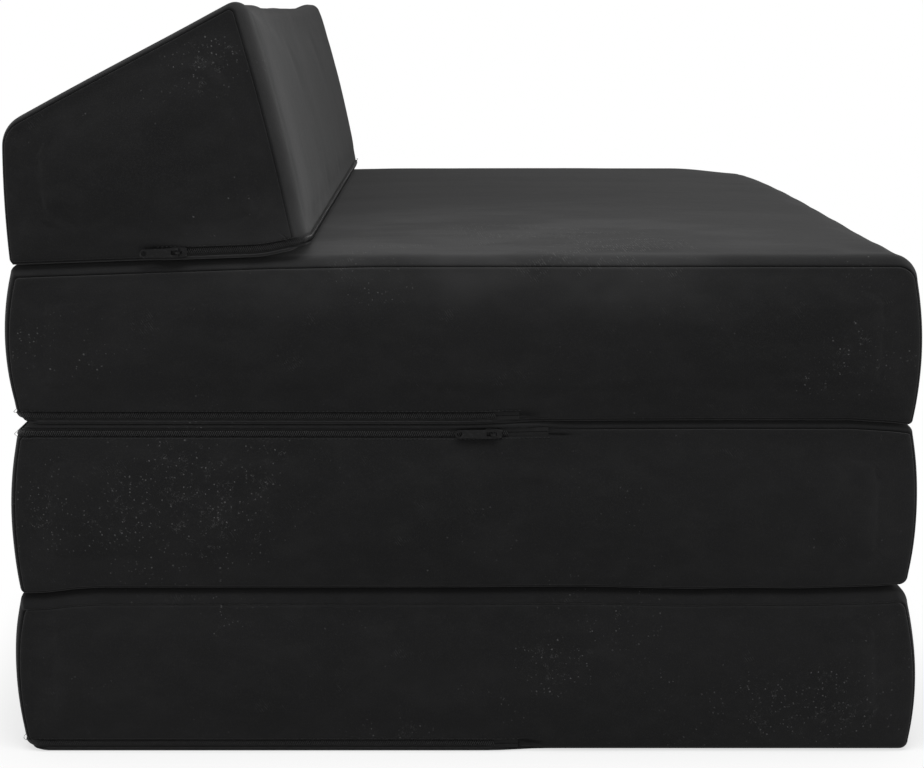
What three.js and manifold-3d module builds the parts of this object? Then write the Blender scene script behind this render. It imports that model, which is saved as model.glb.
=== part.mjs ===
// A folding sofa bed made of foam: three mattress blocks stacked as a seat, and a wedge backrest.
// Each block is a foam core in a zipped fabric cover, and strips of fabric hinge the covers together.
// Millimetres, +Z up, +X towards the front of the seat, origin on the floor under the middle.
import * as THREE from 'three';
import { mergeVertices } from 'three/addons/utils/BufferGeometryUtils.js';
import Module from 'manifold-3d';

const wasm = await Module();
wasm.setup();

// Sizes that set the whole object
const clearance = 0.3; // between pieces that touch
const sideWidth = 790; // between the planes that the two side panels are sewn in
const blockLength = 650; // front to back, without the swell of the faces
const blockHeight = 122.5;
const fabricThickness = 1.2;

// How the covers are rounded and how far the foam swells them
const edgeRadius = 10; // where the band turns over to a side panel
const hingeCornerRadius = 5;
const zipCornerRadius = 16; // of a block, where its zip runs
const backrestZipCornerRadius = 12;
const seatFrontRadius = 18;
const baseTopFrontRadius = 14;
const undersideFrontRadius = 7;
const kinkRadius = 60; // where the seat's top starts to dip under the backrest
const leastRadius = 1.5; // of an arc that an inset has used up
const freeSwell = 8; // of the base's front and the seat's back, which nothing presses on
const hingedSwell = 5; // of the faces that meet when the bed is unfolded
const seatCrown = 3;
const sideCrown = 5; // of the side panels
const seatDip = 8; // how far the backrest's hinge draws down the seat's back edge
const seatDipMargin = 6; // of the dip in front of the backrest

// The wedge backrest, in its own frame: X along its base from the hinge, Z up from its base
const backrestDepth = 215;
const backrestBackHeight = 99.5;
const backrestPeakHeight = 184;
const backrestPeakSetback = 38; // of the peak behind the base's front corner
const backrestPeakRadius = 10;
const backrestShoulderRadius = 24;
const backrestFrontSwell = 2.6;
const backrestSlopeSwell = 0.8;
const backrestBackSwell = 1;
const backrestHingeReach = 1.5; // of the hinge line behind the covers' corners

// Foam cores
const foamEdgeRadius = 20;

// Fabric hinge strips, each of two leaves that meet on the hinge line
const leafThickness = 1;
const leafSetback = 20; // of a strip's ends from the side panels

// Zips: two tapes with half a coil each, in a band along the edge of a cover
const zipCentreHeight = 6; // of the band's middle from the face next to the edge
const zipInward = 1.5; // of the band's middle from the side panel's plane
const zipBackInward = 3.5; // of its middle from a block's back
const zipBackLean = THREE.MathUtils.degToRad(38); // of the band over the round of a block's back
const zipFrontInward = 2.6; // the same at the backrest's leaning front
const tapeOuterEdge = 4; // from the zip's middle line
const tapeThickness = 0.9;
const coilInnerEdge = 0.6;
const coilOuterEdge = 2.4;
const coilHeight = 1.2;
const zipCutDepth = 3.2; // into the cover, past its fabric
const zipCutReach = 7; // out of the cover
const seatZipEnd = 365; // from the back corner to the zip's end, along a side
const middleZipEnd = 386;
const baseZipEnd = 365;
const backrestZipEnd = 107; // from the front corner of the base

// Zip sliders and pulls
const sliderLength = 13;
const sliderWidth = 7.6;
const sliderNoseWidth = 5.8;
const sliderPlate = 1.1;
const sliderFlange = 0.8;
const sliderPostWidth = 0.6;
const sliderPostLength = 3.4;
const bridgeWidth = 1.8;
const bridgeLength = 5.6;
const bridgeTopLength = 3.6;
const bridgeHole = 1.35;
const bridgeWall = 0.9;
const pullLength = 28;
const pullWidth = 6.6;
const pullTailWidth = 6;
const pullThickness = 1.2;
const pullWindowLength = 4;
const pullWindowWidth = 2.9;
const pullHoleRadius = 1.9;
const pullHoleSetback = 3.4; // of its middle from the pull's free end
const middleSliderPlace = 40; // from the zip's end to the slider's middle
const seatSliderPlace = 22;
const baseSliderPlace = 22;
const backrestSliderPlace = 14;

// Steps of the curves
const cornerSteps = 3;
const edgeSteps = 3;
const faceSteps = 5; // of a swollen face
const crownSteps = 6;
const zipCornerSteps = 4;
const holeSteps = 12;

// Levels of the stack
const baseLevel = 0;
const middleLevel = baseLevel + blockHeight + clearance;
const seatLevel = middleLevel + blockHeight + clearance;
const hingeReach = hingedSwell + clearance;
const shellDepth = fabricThickness + clearance; // from a cover's outside to the foam
const colours = { cover: 0x1b1b1c, foam: 0xe9e2c8, zip: 0x101011, metal: 0x17171a };

const coverMaterial = () =>
  new THREE.MeshStandardMaterial({ color: colours.cover, roughness: 0.95, metalness: 0 });
const foamMaterial = () =>
  new THREE.MeshStandardMaterial({ color: colours.foam, roughness: 1, metalness: 0 });
const tapeMaterial = () =>
  new THREE.MeshStandardMaterial({ color: colours.zip, roughness: 0.7, metalness: 0 });
const metalMaterial = () =>
  new THREE.MeshStandardMaterial({ color: colours.metal, roughness: 0.4, metalness: 0.8 });

function named(name, geometry, material) {
  const mesh = new THREE.Mesh(geometry, material);
  mesh.name = name;
  return mesh;
}

// Closed bodies from rings of points, and booleans between them

function signedVolume(points, index) {
  const [a, b, c] = [new THREE.Vector3(), new THREE.Vector3(), new THREE.Vector3()];
  let volume = 0;
  for (let i = 0; i < index.length; i += 3) {
    a.copy(points[index[i]]);
    b.copy(points[index[i + 1]]);
    c.copy(points[index[i + 2]]);
    volume += a.dot(b.cross(c));
  }
  return volume;
}

// Joins rings of equally many points. The ends are capped, or the last ring joins the first.
function loft(rings, { joined = false } = {}) {
  const count = rings[0].length;
  const points = rings.flat();
  const index = [];
  const bands = joined ? rings.length : rings.length - 1;
  for (let r = 0; r < bands; r++) {
    const here = r * count;
    const there = ((r + 1) % rings.length) * count;
    for (let i = 0; i < count; i++) {
      const j = (i + 1) % count;
      index.push(here + i, here + j, there + j, here + i, there + j, there + i);
    }
  }
  if (!joined) {
    for (const [start, turned] of [[0, true], [(rings.length - 1) * count, false]]) {
      for (let i = 1; i < count - 1; i++) {
        const face = [start, start + i, start + i + 1];
        index.push(...(turned ? face.reverse() : face));
      }
    }
  }
  if (signedVolume(points, index) < 0) index.reverse();
  const geometry = new THREE.BufferGeometry().setFromPoints(points);
  geometry.setIndex(index);
  return geometry;
}

function toSolid(geometry) {
  const bare = geometry.clone();
  bare.deleteAttribute('normal');
  bare.deleteAttribute('uv');
  const merged = mergeVertices(bare);
  return new wasm.Manifold(new wasm.Mesh({
    numProp: 3,
    vertProperties: new Float32Array(merged.attributes.position.array),
    triVerts: new Uint32Array(merged.index.array),
  }));
}

function fromSolid(solid) {
  const { vertProperties, triVerts, numProp } = solid.getMesh();
  const places = [];
  for (let i = 0; i < vertProperties.length; i += numProp) {
    places.push(vertProperties[i], vertProperties[i + 1], vertProperties[i + 2]);
  }
  const geometry = new THREE.BufferGeometry();
  geometry.setAttribute('position', new THREE.Float32BufferAttribute(places, 3));
  geometry.setIndex([...triVerts]);
  return geometry;
}

const box = (width, depth, height, x, y, z) =>
  new THREE.BoxGeometry(width, depth, height).translate(x, y, z);

// Cross-sections: corners in order from the lower back one, each with its radius, and the swell
// and steps of the face that follows it, flat if they aren't given. The depth is how far in the
// section closes up.

// The points of a section set in by some distance. Fullness scales the crown of its crowned face.
function outline(section, inset, fullness = 1) {
  const { corners, depth } = section;
  const fade = Math.max(0, 1 - inset / depth);
  const outwards = corners.map((from, i) => {
    const to = corners[(i + 1) % corners.length];
    return new THREE.Vector2(to.z - from.z, from.x - to.x).normalize();
  });
  const arcs = corners.map(({ x, z, radius }, i) => {
    const before = outwards[(i + corners.length - 1) % corners.length];
    const after = outwards[i];
    const left = Math.max(radius - inset, leastRadius);
    const both = before.clone().add(after).divideScalar(1 + before.dot(after));
    const centre = new THREE.Vector2(x, z).addScaledVector(both, -(inset + left));
    const start = before.angle();
    const turn = Math.atan2(before.cross(after), before.dot(after));
    return Array.from({ length: cornerSteps + 1 }, (_, k) => {
      const angle = start + (turn * k) / cornerSteps;
      const way = new THREE.Vector2(Math.cos(angle), Math.sin(angle));
      return centre.clone().addScaledVector(way, left);
    });
  });
  return corners.flatMap(({ swell = 0, steps = 1, crown = false }, i) => {
    const from = arcs[i][cornerSteps];
    const to = arcs[(i + 1) % corners.length][0];
    const between = Array.from({ length: steps - 1 }, (_, k) => {
      const share = (k + 1) / steps;
      const reach = 1 - (2 * share - 1) ** 2;
      const out = swell * reach * fade * (crown ? fullness : 1);
      return from.clone().lerp(to, share).addScaledVector(outwards[i], out);
    });
    return [...arcs[i], ...between];
  });
}

const ring = (section, inset, y, fullness) =>
  outline(section, inset, fullness).map((p) => new THREE.Vector3(p.x, y, p.y));

// How full the crown of the seat is at a place across its width: none over the rounded ends
const crownEnd = sideWidth / 2 - shellDepth - foamEdgeRadius;
const fullnessAt = (y) => Math.max(0, 1 - Math.abs(y / crownEnd) ** 4);

const blockDepth = blockHeight / 2;
const crownInsetShares = [0.96, 0.5]; // of the depth at which a side panel's rings lie
const backrestDepthShare = 0.58; // of its back's height, below that face's vanishing point

// The band of a cover: one strip of fabric round the front, top, back and underside
function coverBand(section, acrossShares) {
  const half = sideWidth / 2;
  const turns = Array.from({ length: edgeSteps + 1 }, (_, k) => (k / edgeSteps) * (Math.PI / 2));
  const skin = (depth) => {
    const radius = edgeRadius - depth;
    const near = turns.map((turn) => ({
      inset: edgeRadius - radius * Math.sin(turn),
      y: -half + edgeRadius - radius * Math.cos(turn),
    }));
    const middle = acrossShares.map((share) => ({ inset: depth, y: share * half }));
    const far = near.map(({ inset, y }) => ({ inset, y: -y })).reverse();
    return [...near, ...middle, ...far].map(({ inset, y }) =>
      ring(section, inset, y, fullnessAt(y)));
  };
  return loft([...skin(0), ...skin(fabricThickness).reverse()], { joined: true });
}

// How far a side panel stands out at an inset from the section's edge
function sideBulge(section, inset) {
  const rim = edgeRadius + clearance;
  const share = Math.max(0, (inset - rim) / (section.depth - rim));
  return sideCrown * (1 - (1 - share) ** 2);
}

// A side panel: a crowned sheet sewn in between the band's edges, on side -1 or 1
function sidePanel(section, side) {
  const insets = [...crownInsetShares.map((s) => s * section.depth), edgeRadius + clearance];
  const sheet = (depth) => insets.map((inset) => {
    const y = side * (sideWidth / 2 + sideBulge(section, inset) - depth);
    return ring(section, inset, y, 0);
  });
  return loft([...sheet(0), ...sheet(fabricThickness).reverse()]);
}

// A foam core: the inside of its cover, with rounder edges that leave room for the zip
function foamCore(section, acrossShares) {
  const half = sideWidth / 2 - shellDepth;
  const end = crownInsetShares.map((share) => {
    const inset = share * section.depth;
    return { inset, y: -half - sideBulge(section, inset) };
  });
  for (let k = 0; k <= edgeSteps; k++) {
    const turn = (k / edgeSteps) * (Math.PI / 2);
    end.push({
      inset: shellDepth + foamEdgeRadius * (1 - Math.sin(turn)),
      y: -half + foamEdgeRadius * (1 - Math.cos(turn)),
    });
  }
  const middle = acrossShares.map((share) => ({
    inset: shellDepth,
    y: share * (sideWidth / 2),
  }));
  const far = end.map(({ inset, y }) => ({ inset, y: -y })).reverse();
  // Reversed, so that the rings run like those inside the band and both have the same facets
  const stations = [...end, ...middle, ...far].reverse();
  return loft(stations.map(({ inset, y }) => ring(section, inset, y, fullnessAt(y))));
}

// A zip runs along one side, round two corners and back along the other side.
// way is -1 towards the back and 1 towards the front. edge is 1 under a cover and -1 on top.

function zipPath({ start, reach, way, inward, farInward, farLean }, overrun = 0) {
  const y = sideWidth / 2 - inward;
  const x = reach - way * farInward;
  const turn = edgeRadius - inward;
  const near = [{ x: start - way * overrun, y: -y, angle: -Math.PI / 2, lean: 0 }];
  for (let k = 0; k <= zipCornerSteps; k++) {
    const share = k / zipCornerSteps;
    const angle = -(Math.PI / 2) * (1 - share);
    near.push({
      x: x - way * turn + way * turn * Math.cos(angle),
      y: -y + turn + turn * Math.sin(angle),
      angle,
      lean: farLean * share,
    });
  }
  const far = near.map((p) => ({ ...p, y: -p.y, angle: -p.angle })).reverse();
  return [...near, ...far].map(({ angle, ...place }) => ({
    ...place,
    out: new THREE.Vector3(way * Math.cos(angle), Math.sin(angle), 0),
  }));
}

// Sweeps a profile of points, each a height from the zip's middle and a distance out of it
function sweepAlongZip(zip, profile, overrun = 0) {
  return loft(zipPath(zip, overrun).map(({ x, y, out, lean }) =>
    profile.map(([up, away]) => {
      const rise = up * Math.cos(lean) - away * Math.sin(lean);
      const reach = up * Math.sin(lean) + away * Math.cos(lean);
      return new THREE.Vector3(x, y, zip.height + zip.edge * rise).addScaledVector(out, reach);
    })));
}

function zipTape(zip, side) {
  const profile = [
    [coilInnerEdge, -tapeThickness],
    [tapeOuterEdge, -tapeThickness],
    [tapeOuterEdge, 0],
    [coilOuterEdge, 0],
    [coilOuterEdge, coilHeight],
    [coilInnerEdge, coilHeight],
  ];
  return sweepAlongZip(zip, profile.map(([up, away]) => [side * up, away]));
}

// The slot that a zip fills in its cover's band
function cutForZip(band, zip) {
  const edge = tapeOuterEdge + clearance;
  const slot = sweepAlongZip(zip, [
    [-edge, -zipCutDepth],
    [edge + clearance, -zipCutDepth],
    [edge + clearance, zipCutReach],
    [-edge, zipCutReach],
  ], clearance);
  return fromSolid(toSolid(band).subtract(toSolid(slot)));
}

// Slider and pull in a frame of their own: X towards the pull's free end, Z square out of the zip

const plateBase = coilHeight + clearance;
const pullAxisHeight = plateBase + sliderPlate + bridgeHole;

function sliderPlateShape() {
  const half = sliderLength / 2;
  const shape = new THREE.Shape();
  shape.moveTo(-half, -sliderNoseWidth / 2);
  shape.quadraticCurveTo(-half / 2, -sliderWidth / 2, half / 2, -sliderWidth / 2);
  shape.lineTo(half, -sliderNoseWidth / 2);
  shape.lineTo(half, sliderNoseWidth / 2);
  shape.lineTo(half / 2, sliderWidth / 2);
  shape.quadraticCurveTo(-half / 2, sliderWidth / 2, -half, sliderNoseWidth / 2);
  return shape;
}

function zipSlider() {
  const settings = { depth: sliderPlate, bevelEnabled: false, curveSegments: 4 };
  const top = new THREE.ExtrudeGeometry(sliderPlateShape(), settings).translate(0, 0, plateBase);
  const under = new THREE.ExtrudeGeometry(sliderPlateShape(), settings)
    .translate(0, 0, -tapeThickness - clearance - sliderPlate);
  const overlap = sliderPlate / 2;
  const postFoot = -tapeThickness - clearance - overlap;
  const postHead = plateBase + overlap;
  const post = box(
    sliderPostLength, sliderPostWidth, postHead - postFoot,
    -sliderLength / 4, 0, (postHead + postFoot) / 2,
  );
  const flangeFoot = clearance;
  const flangeHeight = plateBase + overlap - flangeFoot;
  const flangePlace = coilOuterEdge + clearance + sliderFlange / 2;
  let solid = toSolid(top).add(toSolid(under)).add(toSolid(post));
  for (const side of [-1, 1]) {
    solid = solid.add(toSolid(box(
      sliderLength / 2, sliderFlange, flangeHeight,
      0, side * flangePlace, flangeFoot + flangeHeight / 2,
    )));
  }
  const arch = new THREE.Shape();
  const foot = plateBase + overlap;
  const head = pullAxisHeight + bridgeHole + bridgeWall;
  arch.moveTo(-bridgeLength / 2, foot);
  arch.lineTo(bridgeLength / 2, foot);
  arch.lineTo(bridgeLength / 2, pullAxisHeight);
  arch.lineTo(bridgeTopLength / 2, head);
  arch.lineTo(-bridgeTopLength / 2, head);
  arch.lineTo(-bridgeLength / 2, pullAxisHeight);
  const hole = new THREE.Path();
  hole.absarc(0, pullAxisHeight, bridgeHole, 0, Math.PI * 2, true);
  arch.holes.push(hole);
  const bridge = new THREE.ExtrudeGeometry(arch, {
    depth: bridgeWidth, bevelEnabled: false, curveSegments: holeSteps,
  }).translate(0, 0, -bridgeWidth / 2).rotateX(Math.PI / 2);
  return fromSolid(solid.add(toSolid(bridge)));
}

function zipPull() {
  const shape = new THREE.Shape();
  const bar = pullThickness / 2;
  const free = pullLength - bar;
  shape.moveTo(-bar, -pullWidth / 2);
  shape.lineTo(pullWindowLength + pullWidth / 2, -pullWidth / 2);
  shape.quadraticCurveTo(free / 2, -pullTailWidth / 2, free - pullTailWidth / 2, -pullTailWidth / 2);
  shape.absarc(free - pullTailWidth / 2, 0, pullTailWidth / 2, -Math.PI / 2, Math.PI / 2, false);
  shape.quadraticCurveTo(free / 2, pullTailWidth / 2, pullWindowLength + pullWidth / 2, pullWidth / 2);
  shape.lineTo(-bar, pullWidth / 2);
  const window = new THREE.Path();
  window.moveTo(bar, -pullWindowWidth / 2);
  window.lineTo(bar, pullWindowWidth / 2);
  window.lineTo(bar + pullWindowLength, pullWindowWidth / 2);
  window.lineTo(bar + pullWindowLength, -pullWindowWidth / 2);
  const hole = new THREE.Path();
  hole.absarc(free - pullHoleSetback, 0, pullHoleRadius, 0, Math.PI * 2, true);
  shape.holes.push(window, hole);
  return new THREE.ExtrudeGeometry(shape, {
    depth: pullThickness, bevelEnabled: false, curveSegments: holeSteps / 2,
  }).translate(0, 0, -pullThickness / 2);
}

// Places a slider and its pull on a zip, on side -1 or 1, with the pull lying towards the back
function sliderOnZip(name, zip, side, x) {
  const normal = new THREE.Vector3(0, side, 0);
  const towardsPull = new THREE.Vector3(-1, 0, 0);
  const across = normal.clone().cross(towardsPull);
  const basis = new THREE.Matrix4().makeBasis(towardsPull, across, normal);
  const place = new THREE.Vector3(x, side * (sideWidth / 2 - zip.inward), zip.height);
  const slider = named(`${name}_zip_slider`, zipSlider(), metalMaterial());
  const pull = named(`${name}_zip_pull`, zipPull(), metalMaterial());
  for (const mesh of [slider, pull]) {
    mesh.quaternion.setFromRotationMatrix(basis);
    mesh.position.copy(place);
  }
  pull.position.addScaledVector(normal, pullAxisHeight);
  return [slider, pull];
}

// One covered foam block with its zip
function coveredBlock(name, section, acrossShares, zip, sliderSide, sliderX) {
  const group = new THREE.Group();
  group.add(
    named(`${name}_foam`, foamCore(section, acrossShares), foamMaterial()),
    named(`${name}_cover_band`, cutForZip(coverBand(section, acrossShares), zip), coverMaterial()),
    named(`${name}_side_panel_right`, sidePanel(section, -1), coverMaterial()),
    named(`${name}_side_panel_left`, sidePanel(section, 1), coverMaterial()),
    named(`${name}_zip_tape_outer`, zipTape(zip, 1), tapeMaterial()),
    named(`${name}_zip_tape_inner`, zipTape(zip, -1), tapeMaterial()),
    ...sliderOnZip(name, zip, sliderSide, sliderX),
  );
  return group;
}

const halfLength = blockLength / 2;
const dipLength = backrestDepth + seatDipMargin;
const hingedFace = { swell: hingedSwell, steps: faceSteps };
const flatBand = []; // no rings between the ends of a cover that is the same all across
const crownedBand = [-0.88, -0.7, -0.35, 0, 0.35, 0.7, 0.88];

// The base block lies on the floor. Its zip runs under its back edge.
function baseBlock() {
  const section = {
    depth: blockDepth,
    corners: [
      { x: -halfLength, z: 0, radius: zipCornerRadius },
      { x: halfLength, z: 0, radius: undersideFrontRadius, swell: freeSwell, steps: faceSteps },
      { x: halfLength, z: blockHeight, radius: baseTopFrontRadius },
      { x: -halfLength, z: blockHeight, radius: hingeCornerRadius, ...hingedFace },
    ],
  };
  const start = -halfLength + baseZipEnd;
  const zip = {
    start, reach: -halfLength, way: -1, edge: 1, height: zipCentreHeight,
    inward: zipInward, farInward: zipBackInward, farLean: zipBackLean,
  };
  const group = coveredBlock('base', section, flatBand, zip, 1, start - baseSliderPlace);
  group.position.z = baseLevel;
  return group;
}

// The middle block hinges on the base at the back and carries the seat's hinge at the front.
function middleBlock() {
  const section = {
    depth: blockDepth,
    corners: [
      { x: -halfLength, z: 0, radius: hingeCornerRadius },
      { x: halfLength, z: 0, radius: undersideFrontRadius, ...hingedFace },
      { x: halfLength, z: blockHeight, radius: hingeCornerRadius },
      { x: -halfLength, z: blockHeight, radius: zipCornerRadius, ...hingedFace },
    ],
  };
  const start = -halfLength + middleZipEnd;
  const zip = {
    start, reach: -halfLength, way: -1, edge: -1, height: blockHeight - zipCentreHeight,
    inward: zipInward, farInward: zipBackInward, farLean: zipBackLean,
  };
  const group = coveredBlock('middle', section, flatBand, zip, -1, start - middleSliderPlace);
  group.position.z = middleLevel;
  return group;
}

// The seat block has a crowned top that dips under the backrest.
function seatBlock() {
  const section = {
    depth: blockDepth - seatDip / 2,
    corners: [
      { x: -halfLength, z: 0, radius: zipCornerRadius },
      { x: halfLength, z: 0, radius: hingeCornerRadius, ...hingedFace },
      {
        x: halfLength, z: blockHeight, radius: seatFrontRadius,
        swell: seatCrown, steps: crownSteps, crown: true,
      },
      { x: -halfLength + dipLength, z: blockHeight, radius: kinkRadius },
      {
        x: -halfLength, z: blockHeight - seatDip, radius: hingeCornerRadius,
        swell: freeSwell, steps: faceSteps,
      },
    ],
  };
  const start = -halfLength + seatZipEnd;
  const zip = {
    start, reach: -halfLength, way: -1, edge: 1, height: zipCentreHeight,
    inward: zipInward, farInward: zipBackInward, farLean: zipBackLean,
  };
  const group = coveredBlock('seat', section, crownedBand, zip, 1, start - seatSliderPlace);
  group.position.z = seatLevel;
  return group;
}

// The wedge backrest stands on the dip. Its group's origin is its hinge line.
const backrestTilt = Math.atan2(seatDip, dipLength);
const backrestHinge = new THREE.Vector3(
  -halfLength - backrestHingeReach * Math.cos(backrestTilt),
  0,
  seatLevel + blockHeight - seatDip + clearance / 2,
);

function backrest() {
  const x = backrestHingeReach;
  const z = clearance / 2;
  const peak = backrestDepth - backrestPeakSetback;
  const section = {
    depth: backrestBackHeight * backrestDepthShare,
    corners: [
      { x, z, radius: hingeCornerRadius },
      {
        x: x + backrestDepth, z, radius: backrestZipCornerRadius,
        swell: backrestFrontSwell, steps: faceSteps,
      },
      {
        x: x + peak, z: z + backrestPeakHeight, radius: backrestPeakRadius,
        swell: backrestSlopeSwell, steps: faceSteps,
      },
      {
        x, z: z + backrestBackHeight, radius: backrestShoulderRadius,
        swell: backrestBackSwell, steps: faceSteps,
      },
    ],
  };
  const front = x + backrestDepth;
  const zip = {
    start: front - backrestZipEnd, reach: front, way: 1, edge: 1, height: z + zipCentreHeight,
    inward: zipInward, farInward: zipFrontInward, farLean: 0,
  };
  const sliderX = front - backrestZipEnd + backrestSliderPlace;
  const group = coveredBlock('backrest', section, flatBand, zip, -1, sliderX);
  group.add(backrestLeaf());
  group.position.copy(backrestHinge);
  group.rotation.y = -backrestTilt;
  return group;
}

// Hinge leaves: half a fabric strip each, from a cover's corner to the hinge line

const leafLength = sideWidth - 2 * leafSetback;
// How far the round of a hinge corner draws in at a leaf's thickness from the flat face
const cornerDraw = hingeCornerRadius
  - Math.sqrt(hingeCornerRadius ** 2 - (hingeCornerRadius - leafThickness) ** 2);

// end is -1 for a hinge at the back and 1 at the front. level is the leaf's middle.
function hingeLeaf(name, end, level, reach) {
  const tip = end * (halfLength + reach - clearance / 2);
  const root = end * (halfLength - cornerDraw + clearance);
  return named(
    name,
    box(Math.abs(tip - root), leafLength, leafThickness, (tip + root) / 2, 0, level),
    coverMaterial(),
  );
}

function backrestLeaf() {
  const tip = clearance / 2;
  const root = backrestHingeReach + cornerDraw - clearance;
  const level = (clearance + leafThickness) / 2;
  return named(
    'backrest_hinge_leaf_upper',
    box(root - tip, leafLength, leafThickness, (tip + root) / 2, 0, level),
    coverMaterial(),
  );
}

// The leaf on the seat's back edge lies along the dip.
function seatLeaf() {
  const leaf = backrestLeaf();
  leaf.name = 'backrest_hinge_leaf_lower';
  leaf.geometry.translate(0, 0, -leafThickness - clearance);
  const group = new THREE.Group();
  group.add(leaf);
  group.position.copy(backrestHinge);
  group.rotation.y = -backrestTilt;
  return group;
}

const underLeaf = (level) => level + blockHeight - leafThickness / 2;
const overLeaf = (level) => level + leafThickness / 2;

const sofaBed = new THREE.Group();
sofaBed.add(
  baseBlock(),
  middleBlock(),
  seatBlock(),
  backrest(),
  hingeLeaf('rear_hinge_leaf_lower', -1, underLeaf(baseLevel), hingeReach),
  hingeLeaf('rear_hinge_leaf_upper', -1, overLeaf(middleLevel), hingeReach),
  hingeLeaf('front_hinge_leaf_lower', 1, underLeaf(middleLevel), hingeReach),
  hingeLeaf('front_hinge_leaf_upper', 1, overLeaf(seatLevel), hingeReach),
  seatLeaf(),
);

export default sofaBed;
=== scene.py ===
"""The looks of a folding sofa bed: three foam blocks and a wedge backrest in black microfibre."""
import math

import bmesh
import bpy
import numpy as np
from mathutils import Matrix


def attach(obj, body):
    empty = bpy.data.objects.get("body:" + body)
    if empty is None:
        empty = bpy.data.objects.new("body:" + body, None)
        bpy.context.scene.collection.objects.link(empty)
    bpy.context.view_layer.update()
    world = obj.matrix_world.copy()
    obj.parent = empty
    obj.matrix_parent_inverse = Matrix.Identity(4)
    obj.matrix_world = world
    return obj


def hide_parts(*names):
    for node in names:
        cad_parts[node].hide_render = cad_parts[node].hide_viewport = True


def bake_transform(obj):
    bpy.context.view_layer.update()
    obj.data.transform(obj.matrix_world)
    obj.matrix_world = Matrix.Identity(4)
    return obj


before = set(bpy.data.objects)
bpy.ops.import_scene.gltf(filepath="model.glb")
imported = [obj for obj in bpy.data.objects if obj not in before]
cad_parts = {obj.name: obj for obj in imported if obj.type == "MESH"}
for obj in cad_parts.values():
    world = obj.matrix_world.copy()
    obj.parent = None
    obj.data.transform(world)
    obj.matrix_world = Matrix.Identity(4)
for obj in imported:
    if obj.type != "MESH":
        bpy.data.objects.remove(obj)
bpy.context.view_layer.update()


def placed(name, data):
    """An object in the scene that holds a mesh, a lamp or a camera"""
    made = bpy.data.objects.new(name, data)
    bpy.context.scene.collection.objects.link(made)
    return made


def get_points(mesh, kind="co"):
    """The places of a mesh's vertices, or their normals, as rows"""
    flat = np.zeros(len(mesh.vertices) * 3, np.float32)
    mesh.vertices.foreach_get(kind, flat)
    return flat.reshape(-1, 3).astype(float)


def set_points(mesh, points):
    mesh.vertices.foreach_set("co", np.asarray(points, np.float32).ravel())
    mesh.update()


def settle_modifiers(made):
    """Replaces an object's mesh by what its modifiers make of it"""
    graph = bpy.context.evaluated_depsgraph_get()
    mesh = bpy.data.meshes.new_from_object(made.evaluated_get(graph))
    made.modifiers.clear()
    made.data = mesh


def closed_tube(name, points, around, material):
    """A form of rows of points, each row closed in itself, with its two ends closed too"""
    last = len(points) // around - 1
    faces = [(r * around + i, r * around + (i + 1) % around,
              (r + 1) * around + (i + 1) % around, (r + 1) * around + i)
             for r in range(last) for i in range(around)]
    faces += [tuple(range(around))[::-1], tuple(last * around + i for i in range(around))]
    mesh = bpy.data.meshes.new(name)
    mesh.from_pydata(points, [], faces)
    form = bmesh.new()
    form.from_mesh(mesh)
    bmesh.ops.recalc_face_normals(form, faces=form.faces)
    form.to_mesh(mesh)
    form.free()
    mesh.materials.append(material)
    return placed(name, mesh)


def smooth(value, low, high):
    """0 at low and 1 at high, with a smooth rise between"""
    share = np.clip((value - low) / (high - low), 0, 1)
    return share * share * (3 - 2 * share)


def grey(level, blue=None):
    """A grey, or a slightly bluer one if blue is given"""
    return (level, level, blue or level, 1)


class Value:
    """A socket of a material's node, on which sums are written as in Python"""

    def __init__(self, tree, socket=None):
        self.tree = tree
        self.socket = socket

    def node(self, kind, sockets=None, output=0, **settings):
        """Adds a node and gives one of its outputs. The settings are set before the sockets."""
        made = self.tree.nodes.new(kind)
        for name, setting in settings.items():
            setattr(made, name, setting)
        for key, value in (sockets or {}).items():
            if isinstance(value, Value):
                self.tree.links.new(value.socket, made.inputs[key])
            else:
                made.inputs[key].default_value = value
        return Value(self.tree, made.outputs[output] if made.outputs else None)

    def math(self, operation, *values):
        return self.node("ShaderNodeMath", dict(enumerate(values)), operation=operation)

    def __add__(self, other):
        return self.math("ADD", self, other)

    def __radd__(self, other):
        return self.math("ADD", other, self)

    def __sub__(self, other):
        return self.math("SUBTRACT", self, other)

    def __rsub__(self, other):
        return self.math("SUBTRACT", other, self)

    def __mul__(self, other):
        return self.math("MULTIPLY", self, other)

    def band(self, low, high):
        """0 at low and 1 at high, with a smooth rise between"""
        sockets = {"Value": self, "From Min": low, "From Max": high}
        return self.node("ShaderNodeMapRange", sockets, interpolation_type="SMOOTHSTEP")

    def stretched(self, x, y, z):
        """A place drawn out or squeezed along each way"""
        return self.node("ShaderNodeMapping", {"Vector": self, "Scale": (x, y, z)})

    def noise(self, scale, detail=2, roughness=0.5):
        sockets = {"Vector": self, "Scale": scale, "Detail": detail, "Roughness": roughness}
        return self.node("ShaderNodeTexNoise", sockets, "Fac")

    def mix(self, share, start, end):
        """A colour between two others"""
        return self.node("ShaderNodeMix", {0: share, 6: start, 7: end}, 2, data_type="RGBA")

    def bump(self, height, distance, strength=1):
        sockets = {"Strength": strength, "Distance": distance, "Height": height}
        return self.node("ShaderNodeBump", sockets)

    def surface(self, sockets):
        """Ends the material in a Principled shader with these sockets"""
        shader = self.node("ShaderNodeBsdfPrincipled", sockets)
        self.node("ShaderNodeOutputMaterial", {"Surface": shader})


def new_material(name):
    """A material without nodes, and the place of a point on the piece in metres"""
    made = bpy.data.materials.new(name)
    made.use_nodes = True
    made.node_tree.nodes.clear()
    start = Value(made.node_tree)
    return made, start.node("ShaderNodeTexCoord", output="Object")


# Foam
# Cream upholstery foam, cut from a block, fills each cover. It has open cells, with shade painted
# at the bottom of each one, and has yellowed unevenly. Each core is made with the cover it fills.

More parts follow.
